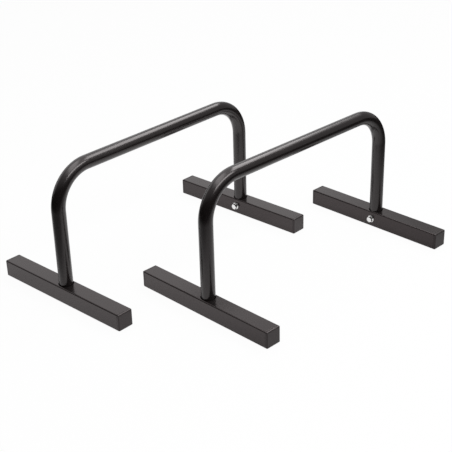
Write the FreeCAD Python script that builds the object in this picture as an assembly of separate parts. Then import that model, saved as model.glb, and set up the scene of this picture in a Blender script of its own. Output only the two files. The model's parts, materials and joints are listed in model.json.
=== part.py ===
import FreeCAD
import Part
import math
import os

# A pair of low training bars for hand balancing, standing side by side on the floor.
# Each bar is one round tube bent into an upside-down U. Its two legs drop through a
# round hole in the top of a square foot tube and stand on the foot's floor. A flanged
# hexagon bolt passes through the foot's inner wall into a rivet nut in the leg and draws
# the two together. Plastic caps close both ends of every foot.
# Millimetres, +Z up, +Y to the rear along the bars, +X from the left bar to the right bar.
# The origin is on the floor, at the centre of the pair.

# Handrail tube
tube_diameter = 32.0
tube_wall = 2.0
bend_radius = 87.0
rail_top_height = 320.0

# Foot tubes
foot_height = 40.0
foot_wall = 2.0
foot_corner_radius = 3.0
foot_tube_length = 374.0
foot_spacing = 588.0
leg_side_room = 2.0

# End caps
cap_flange_thickness = 6.0
cap_edge_radius = 3.0
cap_plug_depth = 20.0
cap_plug_wall = 2.0
cap_fin_height = 0.8
cap_fin_thickness = 1.2
cap_fin_count = 3
cap_corner_relief = 0.8

# Flanged hexagon bolts, each tightened to its own turn
bolt_diameter = 8.0
bolt_length = 20.0
bolt_tip_chamfer = 0.8
head_hex_width = 13.0
head_flange_lip = 2.45
head_rim_thickness = 1.2
head_skirt_height = 1.6
head_height = 8.1
head_corner_relief = 0.35
head_chamfer_degrees = 30.0
left_bolt_turn_degrees = 0.0
right_bolt_turn_degrees = 30.0

# Rivet nuts
nut_wall = 1.5
nut_flange_lip = 1.0
nut_flange_thickness = 1.0
nut_length = 15.0
nut_bulge_lip = 1.75
nut_bulge_length = 5.0

# Clearances
leg_hole_clearance = 0.25
bolt_hole_clearance = 0.5
thread_clearance = 0.05
rivet_clearance = 0.05
least_corner_radius = 0.5

# Placing of the two bars, which stand a little turned, so that the pair opens to the rear
bar_spacing = 295.0
bar_stagger = 166.0
bar_turn_degrees = 1.4

# Sizes that follow from the ones above
tube_radius = tube_diameter / 2
foot_width = tube_diameter + 2 * (leg_side_room + foot_wall)
foot_inner_width = foot_width - 2 * foot_wall
foot_inner_height = foot_height - 2 * foot_wall
foot_inner_corner = max(foot_corner_radius - foot_wall, least_corner_radius)
leg_shift = leg_side_room - nut_flange_thickness
leg_hole_radius = tube_radius + nut_flange_thickness + leg_hole_clearance
leg_spacing = foot_spacing - 2 * leg_shift
rail_height = rail_top_height - tube_radius
bolt_radius = bolt_diameter / 2
bolt_height = foot_height / 2
thread_radius = bolt_radius + thread_clearance
nut_shank_radius = thread_radius + nut_wall

origin = FreeCAD.Vector(0, 0, 0)
x_axis = FreeCAD.Vector(1, 0, 0)
y_axis = FreeCAD.Vector(0, 1, 0)
z_axis = FreeCAD.Vector(0, 0, 1)


def rounded_prism(width, height, radius, x_start, length):
    """A bar along X with a rounded rectangular section, centred on Y and mid-height on Z."""
    box = Part.makeBox(length, width, height, FreeCAD.Vector(x_start, -width / 2, -height / 2))
    long_edges = []
    for edge in box.Edges:
        direction = edge.tangentAt(edge.FirstParameter)
        if abs(direction.dot(x_axis)) > 0.99:
            long_edges.append(edge)
    return box.makeFillet(radius, long_edges)


def facing(shape, way):
    """The shape as it is made for a way of 1, or turned half round about Z for a way of -1."""
    if way < 0:
        shape.rotate(origin, z_axis, 180)
    return shape


def tube_end(centre, normal):
    """The ring-shaped end face of the handrail tube."""
    outside = Part.Wire(Part.makeCircle(tube_radius, centre, normal))
    inside = Part.Wire(Part.makeCircle(tube_radius - tube_wall, centre, normal))
    return Part.Face(outside).cut(Part.Face(inside))


def handrail():
    """The bent tube of one bar, with a hole for a rivet nut in each leg's inner side."""
    leg_y = leg_spacing / 2
    bend_y = leg_y - bend_radius
    bend_z = rail_height - bend_radius
    rail = tube_end(FreeCAD.Vector(0, -bend_y, rail_height), y_axis).extrude(y_axis * (2 * bend_y))
    hole_radius = nut_shank_radius + rivet_clearance
    tube = rail
    for way in (1, -1):
        leg_foot = FreeCAD.Vector(0, -leg_y, foot_wall)
        leg_top = FreeCAD.Vector(0, -leg_y, bend_z)
        bend_axis = FreeCAD.Vector(0, -bend_y, bend_z)
        nut_place = FreeCAD.Vector(0, -leg_y, bolt_height)
        leg = tube_end(leg_foot, z_axis).extrude(leg_top - leg_foot)
        hole = Part.makeCylinder(hole_radius, tube_diameter, nut_place, y_axis)
        bend = tube_end(leg_top, z_axis).revolve(bend_axis, x_axis, -90)
        tube = tube.fuse([facing(leg.cut(hole), way), facing(bend, way)])
    return tube.removeSplitter()


def foot():
    """A foot tube centred on the origin, its inner wall towards +Y."""
    outside = rounded_prism(
        foot_width, foot_height, foot_corner_radius, -foot_tube_length / 2, foot_tube_length)
    inside = rounded_prism(
        foot_inner_width, foot_inner_height, foot_inner_corner, -foot_tube_length / 2, foot_tube_length)
    tube = outside.cut(inside)
    tube.translate(z_axis * (foot_height / 2))
    # The leg's hole goes through the top wall and no deeper, so the inner wall stays whole.
    leg_hole_depth = foot_wall + foot_inner_corner
    leg_hole_floor = FreeCAD.Vector(0, leg_shift, foot_height - leg_hole_depth)
    leg_hole = Part.makeCylinder(leg_hole_radius, leg_hole_depth, leg_hole_floor, z_axis)
    bolt_hole_start = FreeCAD.Vector(0, 0, bolt_height)
    bolt_hole = Part.makeCylinder(
        bolt_radius + bolt_hole_clearance, foot_width, bolt_hole_start, y_axis)
    return tube.cut([leg_hole, bolt_hole])


def cap():
    """The plastic cap in the +X end of a foot that is centred on the origin."""
    seat = foot_tube_length / 2
    flange = rounded_prism(foot_width, foot_height, foot_corner_radius, seat, cap_flange_thickness)
    rim = []
    for edge in flange.Edges:
        if abs(edge.BoundBox.XMin - seat - cap_flange_thickness) < 1e-6:
            rim.append(edge)
    flange = flange.makeFillet(cap_edge_radius, rim)
    fin_corner = foot_inner_corner + cap_corner_relief
    plug_width = foot_inner_width - 2 * cap_fin_height
    plug_height = foot_inner_height - 2 * cap_fin_height
    plug_start = seat - cap_plug_depth
    body = flange.fuse(rounded_prism(plug_width, plug_height, fin_corner, plug_start, cap_plug_depth))
    fin_pitch = cap_plug_depth / (cap_fin_count + 1)
    for number in range(cap_fin_count):
        fin_start = plug_start + (number + 1) * fin_pitch - cap_fin_thickness / 2
        fin = rounded_prism(foot_inner_width, foot_inner_height, fin_corner, fin_start, cap_fin_thickness)
        body = body.fuse(fin)
    hollow = rounded_prism(
        plug_width - 2 * cap_plug_wall, plug_height - 2 * cap_plug_wall, fin_corner,
        plug_start, cap_plug_depth)
    body = body.cut(hollow).removeSplitter()
    body.translate(z_axis * (foot_height / 2))
    return body


def bolt(turn_degrees):
    """A bolt along Y for a foot that is centred on the origin, its head on the inner wall."""
    hex_radius = head_hex_width / 2
    flange_radius = hex_radius + head_flange_lip
    tip = FreeCAD.Vector(0, -bolt_length, 0)
    skirt_top = head_rim_thickness + head_skirt_height
    outline = Part.makePolygon([
        tip,
        FreeCAD.Vector(bolt_radius - bolt_tip_chamfer, -bolt_length, 0),
        FreeCAD.Vector(bolt_radius, bolt_tip_chamfer - bolt_length, 0),
        FreeCAD.Vector(bolt_radius, 0, 0),
        FreeCAD.Vector(flange_radius, 0, 0),
        FreeCAD.Vector(flange_radius, head_rim_thickness, 0),
        FreeCAD.Vector(hex_radius, skirt_top, 0),
        FreeCAD.Vector(0, skirt_top, 0),
        tip,
    ])
    shank_and_flange = Part.Face(outline).revolve(origin, y_axis, 360)
    corners = []
    for sixth in range(7):
        turn = FreeCAD.Rotation(y_axis, 60 * sixth + turn_degrees)
        corners.append(turn.multVec(x_axis * (head_hex_width / math.sqrt(3))))
    hexagon = Part.Face(Part.makePolygon(corners)).extrude(y_axis * head_height)
    # The top corners are turned off by a cone.
    flat_radius = hex_radius - head_corner_relief
    cone_radius = flat_radius + head_height / math.tan(math.radians(head_chamfer_degrees))
    cone = Part.makeCone(cone_radius, flat_radius, head_height, origin, y_axis)
    piece = shank_and_flange.fuse(hexagon.common(cone)).removeSplitter()
    piece.translate(FreeCAD.Vector(0, foot_width / 2, bolt_height))
    return piece


def rivet_nut():
    """A rivet nut set in the leg's inner side, for a foot that is centred on the origin."""
    wall_face = foot_inner_width / 2
    leg_axis = FreeCAD.Vector(0, leg_shift, 0)
    leg_outside = Part.makeCylinder(tube_radius + rivet_clearance, foot_height, leg_axis, z_axis)
    leg_inside = Part.makeCylinder(
        tube_radius - tube_wall - rivet_clearance, foot_height, leg_axis, z_axis)
    lug = FreeCAD.Vector(0, leg_shift, bolt_height)
    flange = Part.makeCylinder(nut_shank_radius + nut_flange_lip, wall_face - leg_shift, lug, y_axis)
    flange = flange.cut(leg_outside)
    bulge_start = FreeCAD.Vector(
        0, wall_face - nut_flange_thickness - tube_wall - nut_bulge_length, bolt_height)
    bulge = Part.makeCylinder(nut_shank_radius + nut_bulge_lip, nut_length, bulge_start, y_axis)
    bulge = bulge.common(leg_inside)
    shank_start = FreeCAD.Vector(0, wall_face - nut_length, bolt_height)
    shank = Part.makeCylinder(nut_shank_radius, nut_length, shank_start, y_axis)
    thread = Part.makeCylinder(thread_radius, nut_length, shank_start, y_axis)
    return shank.fuse(flange).fuse(bulge).cut(thread).removeSplitter()


def bar_pieces(outer_side, bolt_turn_degrees):
    """Every piece of one bar centred on the origin; outer_side is the X sign of its outer ends."""
    pieces = {"handrail": handrail()}
    for end, end_side in (("front", -1), ("rear", 1)):
        to_foot = y_axis * (end_side * foot_spacing / 2)
        pieces[end + "_foot"] = facing(foot(), -end_side)
        pieces[end + "_bolt"] = facing(bolt(bolt_turn_degrees), -end_side)
        pieces[end + "_rivet_nut"] = facing(rivet_nut(), -end_side)
        pieces[end + "_outer_cap"] = facing(cap(), outer_side)
        pieces[end + "_inner_cap"] = facing(cap(), -outer_side)
        for name in ("foot", "bolt", "rivet_nut", "outer_cap", "inner_cap"):
            pieces[end + "_" + name].translate(to_foot)
    return pieces


os.makedirs("parts", exist_ok=True)
bolt_turns = {"left": left_bolt_turn_degrees, "right": right_bolt_turn_degrees}
for bar, side in (("left", -1), ("right", 1)):
    bar_centre = FreeCAD.Vector(side * bar_spacing / 2, side * bar_stagger / 2, 0)
    for name, shape in bar_pieces(side, bolt_turns[bar]).items():
        shape.rotate(origin, z_axis, -side * bar_turn_degrees)
        shape.translate(bar_centre)
        shape.exportStep("parts/" + bar + "_" + name + ".step")
        print(bar + "_" + name, len(shape.Solids), "solid", round(shape.Volume), "mm3")
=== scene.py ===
# %% [markdown]
# # Dressing a pair of parallettes
# Two low steel bars for hand balancing stand side by side on a white floor. Their sizes, places and
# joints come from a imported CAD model, which is loaded first and never moved. This lesson remodels
# each piece that shows with a finer mesh in the same place, and then gives it its real finish.

# %% Load the frame
import json
import math
import bmesh
import bpy
from mathutils import Matrix, Quaternion, Vector

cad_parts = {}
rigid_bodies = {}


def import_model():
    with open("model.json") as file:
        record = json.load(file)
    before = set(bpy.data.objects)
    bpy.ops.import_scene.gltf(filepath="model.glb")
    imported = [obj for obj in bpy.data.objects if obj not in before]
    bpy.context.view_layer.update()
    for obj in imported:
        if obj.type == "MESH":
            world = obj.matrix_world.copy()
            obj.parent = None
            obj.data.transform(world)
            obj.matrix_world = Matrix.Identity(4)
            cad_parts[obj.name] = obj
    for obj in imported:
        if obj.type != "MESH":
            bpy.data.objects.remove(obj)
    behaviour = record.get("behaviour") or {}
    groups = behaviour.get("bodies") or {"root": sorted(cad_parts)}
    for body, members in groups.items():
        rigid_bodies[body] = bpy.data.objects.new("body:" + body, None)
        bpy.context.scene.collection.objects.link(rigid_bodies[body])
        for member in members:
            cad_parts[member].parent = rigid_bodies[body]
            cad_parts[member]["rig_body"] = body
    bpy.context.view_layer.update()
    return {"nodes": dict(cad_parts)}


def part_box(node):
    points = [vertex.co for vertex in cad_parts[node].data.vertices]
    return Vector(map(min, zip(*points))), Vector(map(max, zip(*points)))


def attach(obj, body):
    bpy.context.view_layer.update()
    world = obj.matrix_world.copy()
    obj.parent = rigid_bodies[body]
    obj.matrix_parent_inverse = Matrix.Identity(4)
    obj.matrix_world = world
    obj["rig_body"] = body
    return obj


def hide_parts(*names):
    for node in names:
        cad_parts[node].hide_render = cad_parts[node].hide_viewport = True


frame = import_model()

# %% [markdown]
# ## Where the bars stand
# The two bars are alike, so each piece is modelled once, for a bar that stands at the origin with its
# rail along Y. A bar in the frame was put down by hand, a little turned. The middles of its two feet
# tell where it stands and how far it is turned, and that gives one move from the origin to its place.

# %% Places of the two bars
mm = 0.001


def middle(node):
    """The middle of a CAD node's box."""
    low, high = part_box(node)
    return (low + high) / 2


def bar_place(bar):
    """The move that carries a bar modelled at the origin to its place in the frame."""
    front = middle(bar + "_front_foot")
    rear = middle(bar + "_rear_foot")
    along = rear - front
    turn = math.atan2(-along.x, along.y)
    centre = (front + rear) / 2
    print(bar, "bar at", round(centre.x / mm, 1), round(centre.y / mm, 1), "mm, turned",
          round(math.degrees(turn), 2), "degrees")
    return Matrix.Translation((centre.x, centre.y, 0)) @ Matrix.Rotation(turn, 4, "Z")


bar_places = {bar: bar_place(bar) for bar in ("left", "right")}
foot_spacing = (middle("left_rear_foot") - middle("left_front_foot")).length
print("feet of one bar:", round(foot_spacing / mm, 2), "mm apart")

# %% [markdown]
# ## Sizes of the tubes
# A box can't tell a wall, a bend or a rounded corner, so these are written in millimetres. The front
# foot lies at minus Y. A bolt draws the leg a little off the foot's middle, towards the other foot.

# %% Sizes of the tubes
tube_radius = 16 * mm
tube_wall = 2 * mm
bend_radius = 87 * mm
rail_top = 320 * mm
foot_length = 374 * mm
foot_width = 40 * mm
foot_height = 40 * mm
foot_wall = 2 * mm
foot_corner = 3 * mm
leg_shift = 1 * mm
touching = 0.01 * mm        # points closer than this count as one
foot_centre = Vector((0, -foot_spacing / 2, foot_height / 2))
inner_wall_y = foot_centre.y + foot_width / 2
leg_y = foot_centre.y + leg_shift
print("front leg at", round(leg_y / mm, 2), "mm, rail at", round((rail_top - tube_radius) / mm, 2), "mm")

# %% [markdown]
# ## Working by operator
# The pieces are modelled as by hand, with the operators behind Blender's menus. An operator acts on
# all that is selected, so a piece starts with nothing else selected, and faces or edges are then
# picked by where they lie. These helpers are the hand on the mouse: start a piece, pick, cut, finish.

# %% Helpers for modelling
aligned = 0.99              # a direction with this much of an axis in it counts as lying along it


def start(name):
    """Names the primitive just added, settles its place into its mesh and opens it for editing."""
    piece = bpy.context.object
    piece.name = name
    piece.data.name = name
    bpy.ops.object.transform_apply(location=True, rotation=True, scale=True)
    bpy.ops.object.mode_set(mode="EDIT")
    return piece


def pick(kind, wanted):
    """Selects only the faces or edges of the open mesh that the test called wanted accepts."""
    bpy.ops.mesh.select_mode(type={"faces": "FACE", "edges": "EDGE"}[kind])
    bpy.ops.mesh.select_all(action="DESELECT")
    open_mesh = bpy.context.edit_object.data
    shape = bmesh.from_edit_mesh(open_mesh)
    picked = [part for part in getattr(shape, kind) if wanted(part)]
    for part in picked:
        part.select_set(True)
    bmesh.update_edit_mesh(open_mesh)
    return len(picked)


def extrude(step, widen=None, about=None):
    """Extrudes the selection by a step, then scales its new end about a point."""
    bpy.ops.mesh.extrude_region_move(TRANSFORM_OT_translate={"value": step})
    if widen:
        bpy.ops.transform.resize(value=widen, center_override=about)


def modify(piece, kind, **settings):
    """Adds one modifier with its settings and applies it."""
    bpy.context.view_layer.objects.active = piece
    modifier = piece.modifiers.new(kind.title(), kind)
    for setting, value in settings.items():
        setattr(modifier, setting, value)
    bpy.ops.object.modifier_apply(modifier=modifier.name)


def combine(piece, other, operation):
    """Cuts another solid out of a piece, joins it on or keeps what both share; the other is used up."""
    modify(piece, "BOOLEAN", object=other, operation=operation, solver="MANIFOLD")
    bpy.data.objects.remove(other)


def drill(piece, radius, depth, centre, turn=(0, 0, 0), sides=96):
    """Cuts a round hole, as a drill does."""
    bpy.ops.object.select_all(action="DESELECT")
    bpy.ops.mesh.primitive_cylinder_add(
        vertices=sides, radius=radius, depth=depth, location=centre, rotation=turn)
    combine(piece, bpy.context.object, "DIFFERENCE")


def smooth(piece, angle=40):
    """Smooth shading over rounded edges, with flat faces kept flat by weighted normals."""
    bpy.ops.object.select_all(action="DESELECT")
    piece.select_set(True)
    bpy.context.view_layer.objects.active = piece
    bpy.ops.object.shade_smooth_by_angle(angle=math.radians(angle))
    modify(piece, "WEIGHTED_NORMAL", keep_sharp=True, weight=100)
    shape = bmesh.new()
    shape.from_mesh(piece.data)
    open_edges = [edge for edge in shape.edges if not edge.is_manifold]
    volume = shape.calc_volume(signed=True)
    print(piece.name, len(piece.data.polygons), "faces,", len(open_edges), "open edges,",
          round(volume / mm ** 3), "cubic mm,", [round(size / mm, 2) for size in piece.dimensions], "mm")
    shape.free()


# %% [markdown]
# ## The handrail
# A tube bender makes the handrail from one length of round steel tube: leg, bend, rail, bend, leg. A
# curve with a bevel would give the same outside. Here a circle is extruded and spun along the same
# path, because that follows the bender's own steps and leaves even rings of faces round each bend.

# %% Handrail
tube_sides = 64
bend_steps = 28
rivet_hole_radius = 5.6 * mm
small_hole_sides = 48
leg_end = foot_wall
hidden_leg = foot_height - foot_wall - leg_end
bend_height = rail_top - tube_radius - bend_radius
shown_leg = bend_height - leg_end - hidden_leg
bend_start = leg_y + bend_radius
quarter_turn = math.radians(90)
drill_reach = 2 * tube_radius

bpy.ops.object.select_all(action="DESELECT")
bpy.ops.mesh.primitive_circle_add(vertices=tube_sides, radius=tube_radius, location=(0, leg_y, leg_end))
handrail = start("handrail_coated")
extrude((0, 0, hidden_leg))
extrude((0, 0, shown_leg))
bpy.ops.mesh.spin(
    steps=bend_steps, angle=quarter_turn, center=(0, bend_start, bend_height), axis=(1, 0, 0))
extrude((0, -2 * bend_start, 0))
bpy.ops.mesh.spin(
    steps=bend_steps, angle=quarter_turn, center=(0, -bend_start, bend_height), axis=(1, 0, 0))
extrude((0, 0, -shown_leg))
extrude((0, 0, -hidden_leg))
bpy.ops.mesh.select_all(action="SELECT")
bpy.ops.mesh.remove_doubles(threshold=touching)
bpy.ops.mesh.normals_make_consistent(inside=False)
bpy.ops.object.mode_set(mode="OBJECT")
modify(handrail, "SOLIDIFY", thickness=tube_wall, offset=-1)
for side in (1, -1):
    drill(handrail, rivet_hole_radius, drill_reach, (0, side * (leg_y + tube_radius), foot_centre.z),
          turn=(quarter_turn, 0, 0), sides=small_hole_sides)
smooth(handrail)

# %% [markdown]
# ## The feet
# Each foot is a piece of square steel tube, cold rolled with rounded corners. A round hole in its top
# takes the leg, and a small one in its inner wall takes the bolt. A box with bevelled long edges and
# no ends becomes the tube's skin, Solidify gives it its wall, and the holes are cut like real ones.
# The saw's edges are filed off last, which leaves a fine groove where the cap meets the tube.

# %% Holes and edges of the foot
leg_hole_radius = 17.25 * mm
bolt_hole_radius = 4.5 * mm
filed_edge = 0.5 * mm
filed_steps = 3
rim_slack = 0.05 * mm       # how near the circle a point on a hole's rim lies
skin_depth = 0.6 * mm       # how far below the foot's top its outer rim may lie
outside_reach = foot_width / 2 - foot_wall * 0.75  # past this, a point is on the tube's outside


def runs_along_x(edge):
    """True for an edge of the box that runs along the foot."""
    return abs((edge.verts[0].co - edge.verts[1].co).normalized().x) > aligned


def rims_leg_hole(edge):
    """True for an edge round the leg's hole on the outside of the foot's top."""
    return all(
        abs(math.hypot(corner.co.x, corner.co.y - leg_y) - leg_hole_radius) < rim_slack
        and corner.co.z > foot_height - skin_depth
        for corner in edge.verts)


def rims_end(edge):
    """True for an edge round the outside of the tube's sawn end."""
    return not runs_along_x(edge) and all(
        abs(corner.co.x) > foot_length / 2 - touching
        and max(abs(corner.co.y - foot_centre.y), abs(corner.co.z - foot_centre.z)) > outside_reach
        for corner in edge.verts)


print("leg's hole:", round(2 * leg_hole_radius / mm, 1), "mm, bolt's hole:",
      round(2 * bolt_hole_radius / mm, 1), "mm")

# %% Foot
corner_steps = 8
drill_depth = foot_wall * 3
bpy.ops.object.select_all(action="DESELECT")
bpy.ops.mesh.primitive_cube_add(
    size=1, location=foot_centre, scale=(foot_length, foot_width, foot_height))
foot = start("foot_coated")
pick("edges", runs_along_x)
bpy.ops.mesh.bevel(offset=foot_corner, segments=corner_steps, affect="EDGES")
pick("faces", lambda face: abs(face.normal.x) > aligned)
bpy.ops.mesh.delete(type="ONLY_FACE")
bpy.ops.object.mode_set(mode="OBJECT")
modify(foot, "SOLIDIFY", thickness=foot_wall, offset=-1, use_even_offset=True)
drill(foot, leg_hole_radius, drill_depth, (0, leg_y, foot_height))
drill(foot, bolt_hole_radius, drill_depth, (0, inner_wall_y, foot_centre.z),
      turn=(quarter_turn, 0, 0), sides=small_hole_sides)
bpy.ops.object.mode_set(mode="EDIT")
print("edges round the leg's hole:", pick("edges", rims_leg_hole))
bpy.ops.mesh.bevel(offset=filed_edge, segments=filed_steps, affect="EDGES")
print("edges round the ends:", pick("edges", rims_end))
bpy.ops.mesh.bevel(offset=filed_edge, segments=filed_steps, affect="EDGES")
bpy.ops.object.mode_set(mode="OBJECT")
smooth(foot)

# %% [markdown]
# ## The end caps
# A moulded plastic cap closes each end of a foot. Its flange is as wide as the tube, with softly
# rounded edges, and behind it a hollow plug with three thin fins grips the tube's inside. The flange
# is a bevelled plate, and the plug grows out of its back face by extruding and scaling in turn.

# %% Flange of the cap
cap_flange = 6 * mm
cap_edge = 3 * mm
cap_edge_steps = 6
seat = foot_centre + Vector((foot_length / 2, 0, 0))


def flange_edges(x):
    """A test for the edges of the flange that lie in a plane across the foot."""
    return lambda edge: all(abs(corner.co.x - x) < touching for corner in edge.verts)


bpy.ops.object.select_all(action="DESELECT")
bpy.ops.mesh.primitive_cube_add(
    size=1, location=seat + Vector((cap_flange / 2, 0, 0)), scale=(cap_flange, foot_width, foot_height))
cap = start("cap_moulded")
pick("edges", runs_along_x)
bpy.ops.mesh.bevel(offset=foot_corner, segments=corner_steps, affect="EDGES")
pick("edges", flange_edges(seat.x + cap_flange))
bpy.ops.mesh.bevel(offset=cap_edge, segments=cap_edge_steps, affect="EDGES")
pick("edges", flange_edges(seat.x))
bpy.ops.mesh.bevel(offset=filed_edge, segments=filed_steps, affect="EDGES")
print("faces at the flange's back, where the plug starts:",
      pick("faces", lambda face: face.normal.x < -aligned))

# %% Plug of the cap
plug_depth = 20 * mm
plug_wall = 2 * mm
fin_height = 0.8 * mm
fin_thickness = 1.2 * mm
fin_count = 3
bore = foot_height - 2 * foot_wall
plug = bore - 2 * fin_height
fin_pitch = plug_depth / (fin_count + 1)
plain_length = fin_pitch - fin_thickness


def scaled(part, whole):
    """The factor that turns one width into another, across the foot only."""
    return (1, part / whole, part / whole)


extrude((0, 0, 0), scaled(plug, foot_height - 2 * filed_edge), seat)
for fin in range(fin_count):
    extrude((-(plain_length + fin_thickness / 2 if fin == 0 else plain_length), 0, 0))
    extrude((0, 0, 0), scaled(bore, plug), seat)
    extrude((-fin_thickness, 0, 0))
    extrude((0, 0, 0), scaled(plug, bore), seat)
extrude((-(plain_length + fin_thickness / 2), 0, 0))
extrude((0, 0, 0), scaled(plug - 2 * plug_wall, plug), seat)
extrude((plug_depth, 0, 0))
bpy.ops.object.mode_set(mode="OBJECT")
smooth(cap)

# %% [markdown]
# ## The bolts
# A bright flanged hexagon bolt holds each leg in its foot. Shank and flange are round, so they grow as
# rings: each ring is extruded from the one before and scaled to the next radius of the profile. The
# hexagon is a six-sided prism with a cone turned over its top, joined on as if forged in one.

# %% Shank and flange
bolt_sides = 60
shank_radius = 4 * mm
shank_length = 20 * mm
tip_chamfer = 0.8 * mm
hex_width = 13 * mm
flange_radius = 8.95 * mm
rim_thickness = 1.2 * mm
rim_round = 0.3 * mm
skirt_height = 1.6 * mm
tuck = 0.5 * mm             # the skirt runs on this far inside the hexagon
bolt_seat = Vector((0, inner_wall_y, foot_centre.z))
rim_radius = flange_radius - rim_round
skirt_slope = (rim_radius - hex_width / 2) / skirt_height
skirt_rise = skirt_height + tuck
rim_up = rim_round * 0.7    # one ring between the two ends of the rim's rounding
rim_in = rim_round * 0.3


def ring(step, radius, radius_before):
    """One more ring of a turned piece: a step along Y, then a new radius."""
    ratio = radius / radius_before
    extrude((0, step, 0), (ratio, 1, ratio), bolt_seat)


bpy.ops.object.select_all(action="DESELECT")
bpy.ops.mesh.primitive_circle_add(
    vertices=bolt_sides, radius=flange_radius, fill_type="NGON",
    location=bolt_seat, rotation=(-quarter_turn, 0, 0))
bolt = start("bolt_plated")
ring(rim_thickness - rim_round, flange_radius, flange_radius)
ring(rim_up, flange_radius - rim_in, flange_radius)
ring(rim_in, rim_radius, flange_radius - rim_in)
ring(skirt_rise, rim_radius - skirt_rise * skirt_slope, rim_radius)
pick("faces", lambda face: face.normal.y < -aligned)
ring(0, shank_radius, flange_radius)
ring(tip_chamfer - shank_length, shank_radius, shank_radius)
ring(-tip_chamfer, shank_radius - tip_chamfer, shank_radius)
bpy.ops.object.mode_set(mode="OBJECT")
print("bolt without its hexagon:", [round(size / mm, 2) for size in bolt.dimensions], "mm")

# %% Hexagon of the bolt
head_height = 8.1 * mm
corner_relief = 0.35 * mm
forged_edge = 0.3 * mm
forged_steps = 2
chamfer_angle = math.radians(30)
cone_sides = 96
spare = 1 * mm              # the prism starts this much too tall, and the cone takes it off
flat_radius = hex_width / 2 - corner_relief
cone_radius = flat_radius + head_height / math.tan(chamfer_angle)
prism_low = rim_thickness / 2
prism_high = head_height + spare

bpy.ops.object.select_all(action="DESELECT")
bpy.ops.mesh.primitive_cylinder_add(
    vertices=6, radius=hex_width / math.sqrt(3), depth=prism_high - prism_low,
    location=bolt_seat + Vector((0, (prism_low + prism_high) / 2, 0)), rotation=(-quarter_turn, 0, 0))
hexagon = start("bolt_hexagon")
pick("edges", lambda edge: abs((edge.verts[0].co - edge.verts[1].co).normalized().y) > aligned)
bpy.ops.mesh.bevel(offset=forged_edge, segments=forged_steps, affect="EDGES")
bpy.ops.object.mode_set(mode="OBJECT")
bpy.ops.object.select_all(action="DESELECT")
bpy.ops.mesh.primitive_cone_add(
    vertices=cone_sides, radius1=cone_radius, radius2=flat_radius, depth=head_height,
    location=bolt_seat + Vector((0, head_height / 2, 0)), rotation=(-quarter_turn, 0, 0))
combine(hexagon, bpy.context.object, "INTERSECT")
combine(bolt, hexagon, "UNION")
smooth(bolt, angle=30)

# %% [markdown]
# ## The finishes
# Colours are written as the hex values a person would pick from a picture, and one function turns them
# to the linear numbers that light is reckoned in. One more small function adds a node, so that each
# finish below reads as a short list of what it is made of.

# %% Helpers for finishes
def linear(colour):
    """An sRGB hex colour as linear red, green, blue and full alpha."""
    parts = [int(colour[place:place + 2], 16) / 255 for place in (1, 3, 5)]
    return [p / 12.92 if p <= 0.04045 else ((p + 0.055) / 1.055) ** 2.4 for p in parts] + [1.0]


def add(tree, kind, inputs=None, **settings):
    """Adds a node with its settings, and fills or links its inputs."""
    node = tree.nodes.new(kind)
    for setting, value in settings.items():
        setattr(node, setting, value)
    for socket, value in (inputs or {}).items():
        if isinstance(value, bpy.types.NodeSocket):
            tree.links.new(value, node.inputs[socket])
        else:
            node.inputs[socket].default_value = value
    return node


def new_finish(name):
    """An empty material, its node tree, and the place on the piece that patterns are drawn by."""
    finish = bpy.data.materials.new(name)
    finish.use_nodes = True
    finish.node_tree.nodes.clear()
    place = add(finish.node_tree, "ShaderNodeTexCoord").outputs["Object"]
    return finish, finish.node_tree, place


noise_low, noise_high = 0.3, 0.7    # nearly all of a noise lies between these values
print("mid grey #808080 is", round(linear("#808080")[0], 3), "in linear light")

# %% [markdown]
# ## Black powder coat
# Powder coat is paint baked on from dry powder. It melts into a satin skin with a fine orange peel,
# which spreads each reflection a little and keeps the black soft. Two noises give it that: a broad one
# for the slow change in sheen along a tube, and a fine one for the peel. A picture of paint would have
# to be wrapped round the bends, while a noise fills space and needs no wrapping. Rails and feet are
# coated in two batches, and the sheen of the feet is a little warmer.

# %% Powder coat
peel_size = 3 * mm          # the real peel is nearer 1 mm: drawn coarser so that it shows
peel_depth = 0.008 * mm
sheen_patch = 60 * mm
coat_smooth, coat_dull = 0.20, 0.25


def powder_coat(name, dark, light, sheen_tint):
    """Black powder coat from one batch: its two shades of black, and the cast of its sheen."""
    coat, tree, place = new_finish(name)
    patches = add(tree, "ShaderNodeTexNoise", {"Vector": place, "Scale": 1 / sheen_patch, "Detail": 3.0})
    peel = add(tree, "ShaderNodeTexNoise", {"Vector": place, "Scale": 1 / peel_size, "Detail": 2.0})
    shade = add(tree, "ShaderNodeMix", {
        "Factor": patches.outputs["Fac"], "A": linear(dark), "B": linear(light)}, data_type="RGBA")
    sheen = add(tree, "ShaderNodeMapRange", {
        "Value": patches.outputs["Fac"], "From Min": noise_low, "From Max": noise_high,
        "To Min": coat_smooth, "To Max": coat_dull})
    grain = add(tree, "ShaderNodeBump", {
        "Height": peel.outputs["Fac"], "Strength": 0.1, "Distance": peel_depth})
    skin = add(tree, "ShaderNodeBsdfPrincipled", {
        "Base Color": shade.outputs["Result"], "Roughness": sheen.outputs["Result"],
        "Normal": grain.outputs["Normal"], "IOR": 1.6, "Specular Tint": linear(sheen_tint)})
    add(tree, "ShaderNodeOutputMaterial", {"Surface": skin.outputs["BSDF"]})
    return coat


rail_coat = powder_coat("black_powder_coat_baked_satin_rails", "#161212", "#1b1717", "#fff8f8")
foot_coat = powder_coat("black_powder_coat_baked_satin_feet", "#151212", "#1a1717", "#ffedee")
print("coats:", rail_coat.name, "and", foot_coat.name)

# %% [markdown]
# ## Moulded black plastic
# The caps are polyethylene moulded in a spark-eroded steel mould, which leaves a fine even grain. It
# scatters light, so the plastic looks a little duller and flatter than the paint beside it. One noise
# drives shade, roughness and bump together, as one grain does on the real cap.

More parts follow.
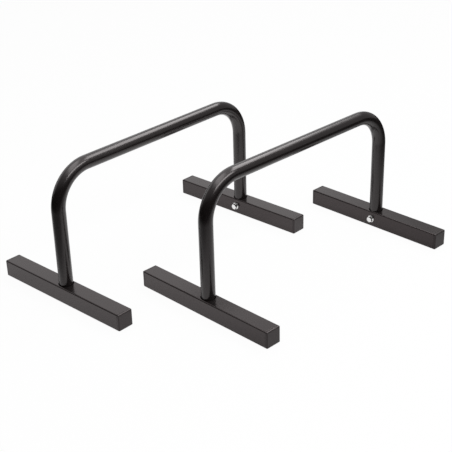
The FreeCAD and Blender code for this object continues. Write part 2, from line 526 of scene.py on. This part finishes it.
# %% Plastic
mould_grain = 0.8 * mm      # the real grain is finer: drawn coarser so that it shows up close
grain_depth = 0.02 * mm
grain_smooth, grain_dull = 0.30, 0.38
plastic, tree, place = new_finish("black_polyethylene_moulded")
spots = add(tree, "ShaderNodeTexNoise", {"Vector": place, "Scale": 1 / mould_grain, "Detail": 3.0})
dull = add(tree, "ShaderNodeMapRange", {
    "Value": spots.outputs["Fac"], "From Min": noise_low, "From Max": noise_high,
    "To Min": grain_smooth, "To Max": grain_dull})
shade = add(tree, "ShaderNodeMix", {
    "Factor": spots.outputs["Fac"], "A": linear("#141313"), "B": linear("#191818")}, data_type="RGBA")
grain = add(tree, "ShaderNodeBump", {
    "Height": spots.outputs["Fac"], "Strength": 0.4, "Distance": grain_depth})
body = add(tree, "ShaderNodeBsdfPrincipled", {
    "Base Color": shade.outputs["Result"], "Roughness": dull.outputs["Result"],
    "Normal": grain.outputs["Normal"], "IOR": 1.55, "Specular Tint": linear("#ffeeef")})
add(tree, "ShaderNodeOutputMaterial", {"Surface": body.outputs["BSDF"]})
print("caps:", plastic.name)

# %% [markdown]
# ## Bright zinc plate
# The bolts are forged from steel and plated with bright zinc. The plate is a nearly neutral mirror,
# softened by the fine marks of tumbling in the plating drum. A metal takes its look from what it
# mirrors, so all it needs is a pale colour and a noise that makes some spots duller than others.

# %% Zinc plate
tumble_mark = 1.2 * mm
plate_smooth, plate_dull = 0.12, 0.24
zinc, tree, place = new_finish("steel_bright_zinc_plated")
marks = add(tree, "ShaderNodeTexNoise", {"Vector": place, "Scale": 1 / tumble_mark, "Detail": 4.0})
polish = add(tree, "ShaderNodeMapRange", {
    "Value": marks.outputs["Fac"], "From Min": noise_low, "From Max": noise_high,
    "To Min": plate_smooth, "To Max": plate_dull})
shade = add(tree, "ShaderNodeMix", {
    "Factor": marks.outputs["Fac"], "A": linear("#efeeed"), "B": linear("#f8f8f7")}, data_type="RGBA")
plate = add(tree, "ShaderNodeBsdfPrincipled", {
    "Base Color": shade.outputs["Result"], "Roughness": polish.outputs["Result"], "Metallic": 1.0})
add(tree, "ShaderNodeOutputMaterial", {"Surface": plate.outputs["BSDF"]})
print("bolts and rivet nuts:", zinc.name)

# %% [markdown]
# ## Put the pieces in their places
# Each finished piece is copied to every place the frame has for it, with its own mesh. The rear end of
# a bar is its front end turned half round, and so is a cap at the other end of the same foot. A bolt
# stops where it is tight, so the left bar's hexagons stand a twelfth of a turn on from the right bar's.
# The rivet nuts are out of sight inside the legs, so they stay CAD solids and only get their plating.

# %% One copy in its place
half_turn = Matrix.Rotation(math.pi, 4, "Z")
foot_half_turn = Matrix.Translation(foot_centre) @ half_turn @ Matrix.Translation(-foot_centre)
at_front = Matrix.Identity(4)
twelfth = Matrix.Rotation(math.radians(30), 4, "Y")
bolt_turns = {
    "left": Matrix.Translation(bolt_seat) @ twelfth @ Matrix.Translation(-bolt_seat),
    "right": Matrix.Identity(4),
}


def settle(master, node, place, finish):
    """A copy of a master piece in a CAD node's place, riding on that node's body."""
    piece = master.copy()
    piece.data = master.data.copy()
    bpy.context.scene.collection.objects.link(piece)
    piece.name = node + master.name[master.name.rindex("_"):]
    piece.data.name = piece.name
    piece.data.transform(bar_places[node.split("_")[0]] @ place)
    piece.data.materials.clear()
    piece.data.materials.append(finish)
    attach(piece, frame["nodes"][node]["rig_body"])
    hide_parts(node)
    corners = [Vector(corner) for corner in piece.bound_box]
    lowest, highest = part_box(node)
    gaps = []
    for axis in range(3):
        gaps.append(abs(min(corner[axis] for corner in corners) - lowest[axis]))
        gaps.append(abs(max(corner[axis] for corner in corners) - highest[axis]))
    return max(gaps)


print("nodes to replace:", sum(not node.endswith("rivet_nut") for node in frame["nodes"]))

# %% All copies
misfit = 0
for bar in ("left", "right"):
    misfit = max(misfit, settle(handrail, bar + "_handrail", at_front, rail_coat))
    for end, place in (("front", at_front), ("rear", half_turn)):
        to_left = "outer_cap" if bar == "left" else "inner_cap"
        to_right = "inner_cap" if bar == "left" else "outer_cap"
        near, far = (to_right, to_left) if end == "front" else (to_left, to_right)
        for master, piece_name, place_here, finish, slot in (
                (foot, "foot", place, foot_coat, "black_powder_coat"),
                (bolt, "bolt", place @ bolt_turns[bar], zinc, "bright_zinc"),
                (cap, near, place, plastic, "black_plastic"),
                (cap, far, place @ foot_half_turn, plastic, "black_plastic")):
            node = bar + "_" + end + "_" + piece_name
            misfit = max(misfit, settle(master, node, place_here, finish))
for master in (handrail, foot, cap, bolt):
    bpy.data.objects.remove(master)
for node, cad_piece in frame["nodes"].items():
    if node.endswith("rivet_nut"):
        cad_piece.data.materials.clear()
        cad_piece.data.materials.append(zinc)
print("largest misfit of a piece and its node:", round(misfit / mm, 3), "mm")

# %% [markdown]
# ## The paper floor
# The bars stand on a white floor. To the camera it is endless white, so that the background stays
# white with a faint shadow on it. To glossy surfaces and to bounced light the floor carries a painted
# pool of light. It is white round the bars, fades out with distance and is painted darker in front of
# the left one, as painted shade where the floor lies out of the light. A floor that is white all over
# would be simpler, but satin black would then mirror white on every side and lose its dark edges.

# %% Where the painted pool of light on the floor lies
floor_size = 40             # metres, so that the floor reaches past the picture
pool_middle = (-0.28, 0, 0)
pool_full_until = 0.38          # metres from its middle up to which the painted pool of light is full
pool_gone_at = 1.12           # metres from its middle at which it has faded out
front_end = -0.60           # Y at which the painted darkening in front of the left bar is strongest
front_whole = -0.44         # Y from which the pool is no longer painted darker
past_front = 0.3            # the share of the painted pool of light left in front of that

bpy.ops.object.select_all(action="DESELECT")
bpy.ops.mesh.primitive_plane_add(size=floor_size)
floor = bpy.context.object
floor.name = "floor"
paper, tree, place = new_finish("white_paper_floor")
paper.cycles.emission_sampling = "NONE"  # the white is only seen, and lights nothing
# painted pool of light: the floor's white fades with distance from the pool's middle
reach = add(tree, "ShaderNodeVectorMath", {0: place, 1: pool_middle}, operation="DISTANCE")
falloff = add(tree, "ShaderNodeMapRange", {
    "Value": reach.outputs["Value"], "From Min": pool_full_until, "From Max": pool_gone_at,
    "To Min": 1.0, "To Max": 0.0})
depth = add(tree, "ShaderNodeSeparateXYZ", {"Vector": place})
# painted shade: the pool is darkened toward the camera, in front of the left bar
front = add(tree, "ShaderNodeMapRange", {
    "Value": depth.outputs["Y"], "From Min": front_end, "From Max": front_whole,
    "To Min": past_front, "To Max": 1.0})
painted_light_pool = add(tree, "ShaderNodeMath", {
    0: falloff.outputs["Result"], 1: front.outputs["Result"]}, operation="MULTIPLY")
print(floor.name, [round(size, 1) for size in floor.dimensions], "m, paper up to", pool_gone_at, "m")

# %% How the floor is seen: white to the camera, a painted pool of light to glossy surfaces
camera_white = 0.95         # the rest is matt paper, which keeps the shadow
mirrored_white = 0.6        # the share of white glow, a painted pool of light, that a glossy surface sees
seen = add(tree, "ShaderNodeLightPath")
whole = add(tree, "ShaderNodeMath", {
    0: painted_light_pool.outputs[0], 1: seen.outputs["Is Camera Ray"]}, operation="MAXIMUM")
# painted shade: outside the pool the matt colour turns dark, except to the camera
tone = add(tree, "ShaderNodeMix", {
    "Factor": whole.outputs[0], "A": linear("#2c2c2c"), "B": linear("#efefef")}, data_type="RGBA")
mirrored = add(tree, "ShaderNodeMath", {
    0: seen.outputs["Is Glossy Ray"], 1: seen.outputs["Is Transmission Ray"]}, operation="ADD")
# painted light: the white glow that glossy surfaces see fades with the pool
glow = add(tree, "ShaderNodeMath", {0: painted_light_pool.outputs[0], 1: mirrored_white}, operation="MULTIPLY")
mirrored_share = add(tree, "ShaderNodeMath", {
    0: mirrored.outputs[0], 1: glow.outputs[0]}, operation="MULTIPLY")
share = add(tree, "ShaderNodeMath", {
    0: seen.outputs["Is Camera Ray"], 1: camera_white, 2: mirrored_share.outputs[0]},
    operation="MULTIPLY_ADD")
matt = add(tree, "ShaderNodeBsdfDiffuse", {"Color": tone.outputs["Result"]})
white = add(tree, "ShaderNodeEmission", {"Color": linear("#ffffff"), "Strength": 1.0})
both = add(tree, "ShaderNodeMixShader", {0: share.outputs[0], 1: matt.outputs[0], 2: white.outputs[0]})
add(tree, "ShaderNodeOutputMaterial", {"Surface": both.outputs[0]})
floor.data.materials.append(paper)
print(paper.name, "has", len(tree.nodes), "nodes")

# %% [markdown]
# ## The room
# Round the floor lies a dim room, darkest on the camera's side. Glossy surfaces also see two more
# sheets of white paper in it, one hung to the left of the bars and one over them, which draw broad soft
# streaks along the tubes. They could be planes with a white finish. In the world they are only
# directions with a soft edge, so they cast no shadow and are easy to move.

# %% Directions in the room
world = bpy.data.worlds.new("studio")
bpy.context.scene.world = world
world.use_nodes = True
tree = world.node_tree
tree.nodes.clear()
way = add(tree, "ShaderNodeTexCoord").outputs["Generated"]


def bearing(azimuth, elevation):
    """The direction from the bars to a place in the studio; azimuth 0 is in front, 90 to the right."""
    a = math.radians(azimuth)
    e = math.radians(elevation)
    return Vector((math.sin(a) * math.cos(e), -math.cos(a) * math.cos(e), math.sin(e)))


def facing(azimuth, elevation):
    """The cosine of the angle between where a ray goes and a bearing."""
    cosine = add(tree, "ShaderNodeVectorMath", {
        0: way, 1: bearing(azimuth, elevation)}, operation="DOT_PRODUCT")
    return cosine.outputs["Value"]


def hung_paper(azimuth, elevation, gone, whole):
    """How much of a hung sheet a ray sees, by the cosines at which the sheet is gone and whole."""
    falloff = add(tree, "ShaderNodeMapRange", {
        "Value": facing(azimuth, elevation), "From Min": gone, "From Max": whole},
        interpolation_type="SMOOTHSTEP")
    return falloff.outputs["Result"]


print("a bearing to the left, level:", [round(x, 2) for x in bearing(270, 0)])

# %% Room and hung paper
room_dim, room_bright = 0.02, 0.36  # strength on the camera's side and at the back
dim_until, bright_from = -0.15, 0.25  # cosines from the back at which the room is dim and bright
seen = add(tree, "ShaderNodeLightPath")
pale = add(tree, "ShaderNodeMath", {
    0: hung_paper(azimuth=257, elevation=8, gone=0.69, whole=0.77),
    1: hung_paper(azimuth=215, elevation=78, gone=0.74, whole=0.82)}, operation="MAXIMUM")
dim = add(tree, "ShaderNodeMapRange", {
    "Value": facing(azimuth=200, elevation=55), "From Min": dim_until, "From Max": bright_from,
    "To Min": room_dim, "To Max": room_bright})
mirrored = add(tree, "ShaderNodeMath", {
    0: seen.outputs["Is Glossy Ray"], 1: seen.outputs["Is Transmission Ray"]}, operation="ADD")
share = add(tree, "ShaderNodeMath", {
    0: mirrored.outputs[0], 1: pale.outputs[0], 2: seen.outputs["Is Camera Ray"]},
    operation="MULTIPLY_ADD")
room = add(tree, "ShaderNodeBackground", {"Color": linear("#ffffff"), "Strength": dim.outputs[0]})
white = add(tree, "ShaderNodeBackground", {"Color": linear("#ffffff"), "Strength": 1.0})
both = add(tree, "ShaderNodeMixShader", {0: share.outputs[0], 1: room.outputs[0], 2: white.outputs[0]})
add(tree, "ShaderNodeOutputWorld", {"Surface": both.outputs[0]})
print(world.name, "has", len(tree.nodes), "nodes")

# %% [markdown]
# ## The lamps
# Three large soft lamps light the bars: one overhead, one at the back and one on the right. A small
# hard lamp would leave a thin glint on each tube. A large one makes the wide even streak that satin
# paint shows. Each is given by how bright its front looks, so that a change of size keeps that.

# %% Lamps
def softbox(name, azimuth, elevation, roll, distance, width, height, brightness):
    """A soft lamp that faces the bars, given by how bright its front looks, where 1 is white paper."""
    way = bearing(azimuth, elevation)
    turn = way.to_track_quat("Z", "Y") @ Quaternion((0, 0, 1), math.radians(roll))
    bpy.ops.object.light_add(type="AREA", location=way * distance, rotation=turn.to_euler())
    lamp = bpy.context.object
    lamp.name = name
    lamp.data.shape = "RECTANGLE"
    lamp.data.size = width
    lamp.data.size_y = height
    lamp.data.energy = brightness * math.pi * width * height
    lamp.visible_camera = False
    print(name, "at", [round(x, 2) for x in lamp.location], "m,", round(lamp.data.energy, 1), "W")


softbox("overhead_softbox", azimuth=350, elevation=83, roll=0, distance=3.2,
        width=3.4, height=1.5, brightness=2.1)
softbox("back_softbox", azimuth=182, elevation=55, roll=-21, distance=4.0,
        width=3.2, height=1.05, brightness=4.5)
softbox("right_softbox", azimuth=92, elevation=50, roll=0, distance=3.2,
        width=2.8, height=0.75, brightness=6.0)

# %% [markdown]
# ## The camera
# The camera stands to the front right, a little above the bars, about four bar lengths away, and is
# rolled by a degree and a half. Its place is given in its own directions, to the right, up and back,
# which keeps the framing apart from the viewing angle.

# %% Camera
camera_azimuth = math.radians(44.30)
camera_elevation = math.radians(26.67)
camera_roll = math.radians(-1.62)
camera_place = Vector((-5.9 * mm, 75.9 * mm, 2520 * mm))
camera_turn = (
    Matrix.Rotation(camera_azimuth, 3, "Z")
    @ Matrix.Rotation(quarter_turn - camera_elevation, 3, "X")
    @ Matrix.Rotation(camera_roll, 3, "Z"))
bpy.ops.object.camera_add(location=camera_turn @ camera_place, rotation=camera_turn.to_euler())
camera = bpy.context.object
camera.data.sensor_width = 36
camera.data.lens = 84.01
camera.data.clip_end = 100
bpy.context.scene.camera = camera
bpy.context.scene.view_settings.view_transform = "Standard"
print("camera at", [round(x, 3) for x in camera.location], "m, lens", camera.data.lens, "mm")
